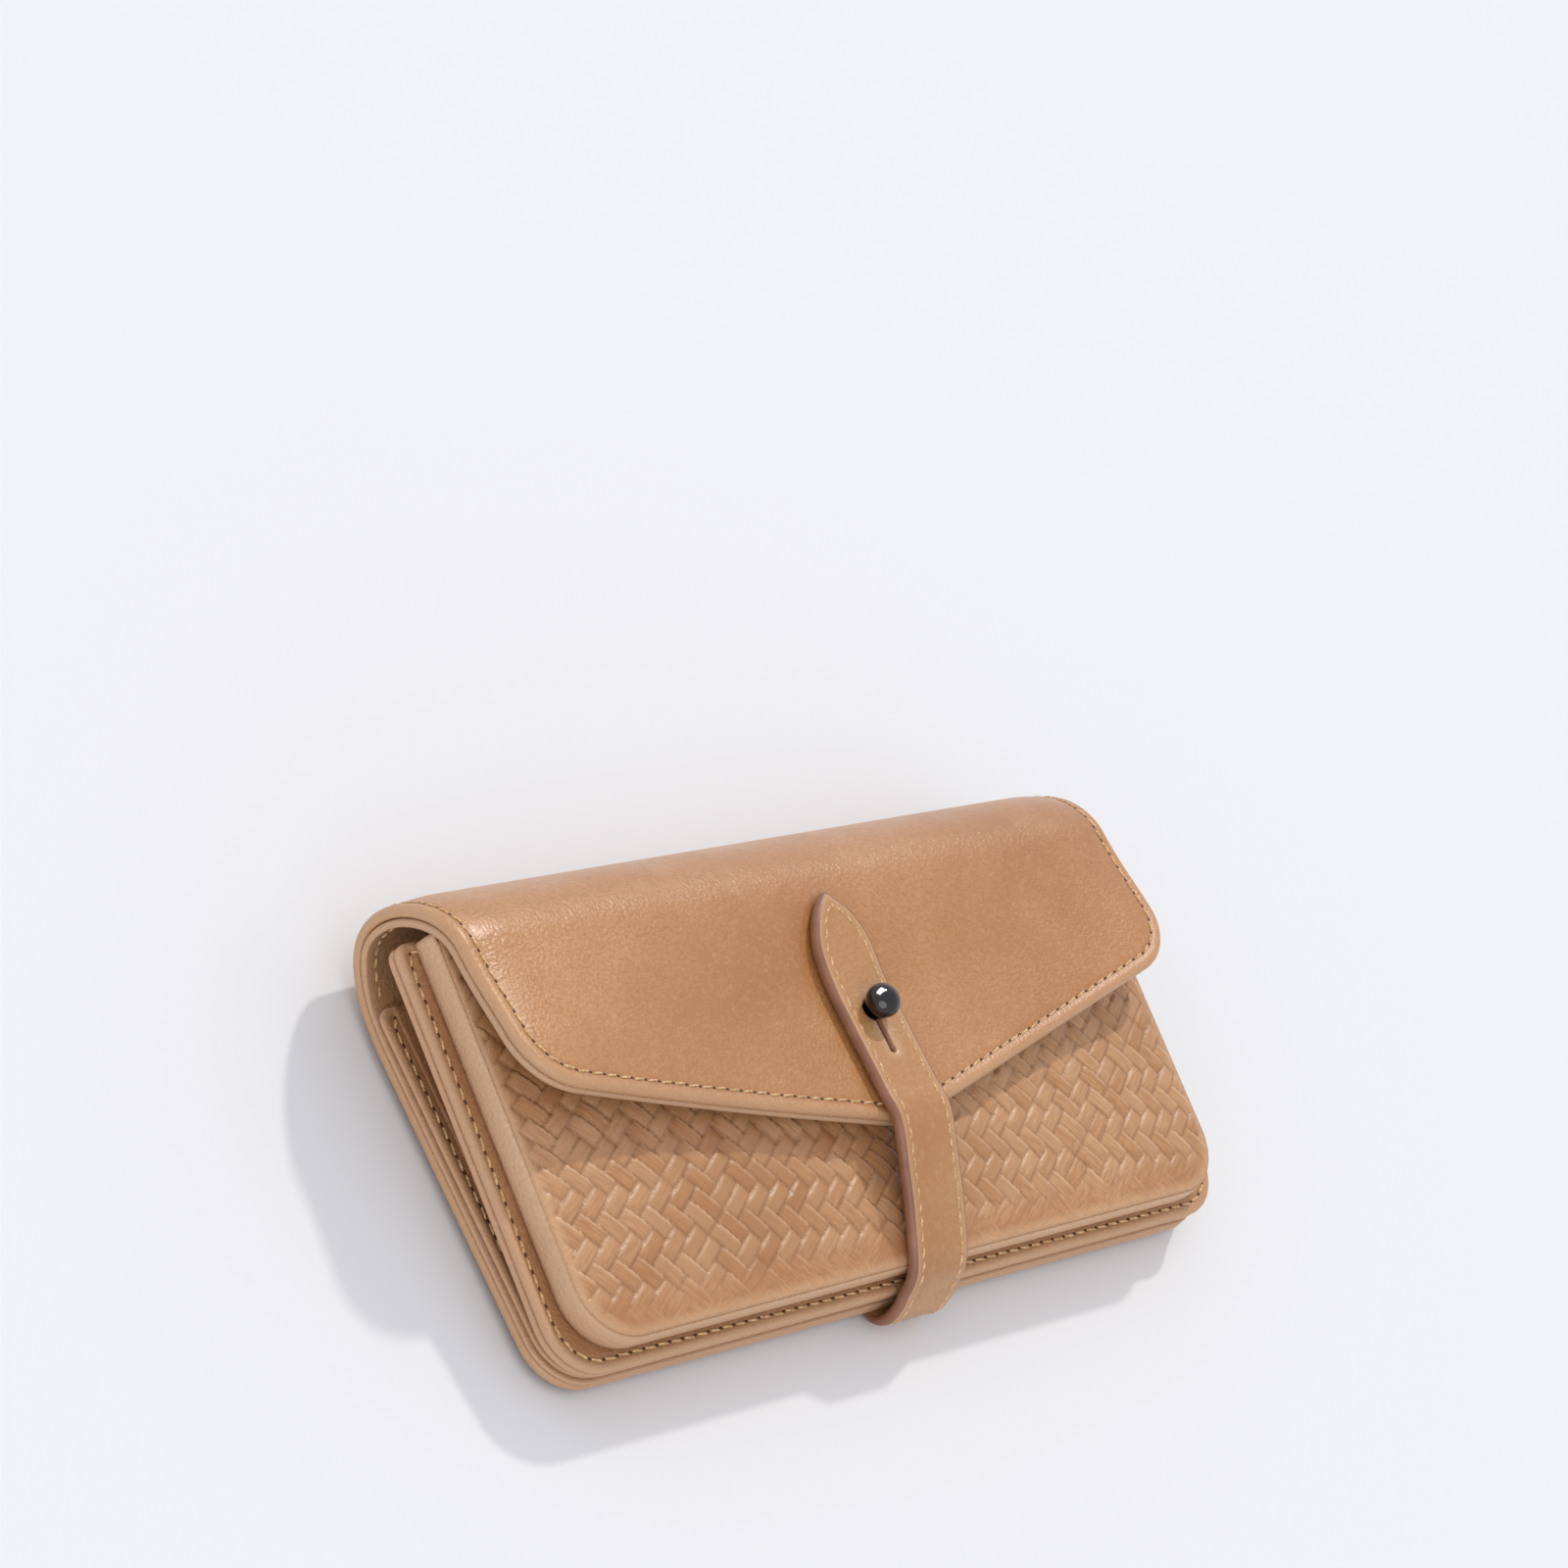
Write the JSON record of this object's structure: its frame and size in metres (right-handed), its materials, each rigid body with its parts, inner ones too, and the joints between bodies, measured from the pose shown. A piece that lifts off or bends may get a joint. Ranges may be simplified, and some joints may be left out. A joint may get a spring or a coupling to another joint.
{
  "type": "long wallet",
  "caption": "Closed long leather wallet with an envelope flap, a woven front pocket and a strap buttoned over a ball stud.",
  "frame": {"origin": "bottom centre of the closed wallet's bounding box, lying on its back", "axes": "+X along the wallet's length, +Y from the bottom edge to the top fold, +Z from the back out through the front"},
  "size_m": [0.19, 0.1012, 0.0392],
  "materials": {
    "tan_leather": "semi-gloss, fine pebble grain",
    "suede_lining": "matt",
    "woven_leather": "semi-gloss diagonal weave",
    "stiff_board": "matt",
    "gunmetal": "dark polished"
  },
  "bodies": {
    "base": {"back_outer_leather": "tan_leather", "back_lining": "suede_lining", "back_pocket_panel": "tan_leather", "card_slot_1": "tan_leather", "card_slot_2": "tan_leather", "fold_outer_leather": "tan_leather", "fold_lining": "suede_lining", "gusset_left": "tan_leather", "gusset_right": "tan_leather", "middle_panel_rear": "tan_leather", "middle_panel_front": "tan_leather", "front_side_band": "tan_leather", "front_lining": "suede_lining", "front_board": "stiff_board", "front_woven_face": "woven_leather", "strap_bend": "tan_leather", "strap_sewn_end": "tan_leather"},
    "flap": {"flap_outer_leather": "tan_leather", "flap_lining": "suede_lining", "stud_head": "gunmetal", "stud_screw": "gunmetal"},
    "strap": {"strap_outer": "tan_leather", "strap_lining": "suede_lining"}
  },
  "joints": [
    {"name": "strap_hinge", "type": "hinge", "parent": "base", "child": "strap", "pos_m": [0, -0.0472, 0.007], "axis": [1, 0, 0], "range_deg": [0, 135], "deforming": ["strap_bend"]},
    {"name": "flap_hinge", "type": "hinge", "parent": "base", "child": "flap", "pos_m": [0, 0.0443, 0.014], "axis": [1, 0, 0], "range_deg": [-75, 0], "deforming": ["fold_outer_leather", "fold_lining"]}
  ],
  "couplings": [
    {"joint": "flap_hinge", "follows": "strap_hinge", "ratio": -0.55}
  ]
}
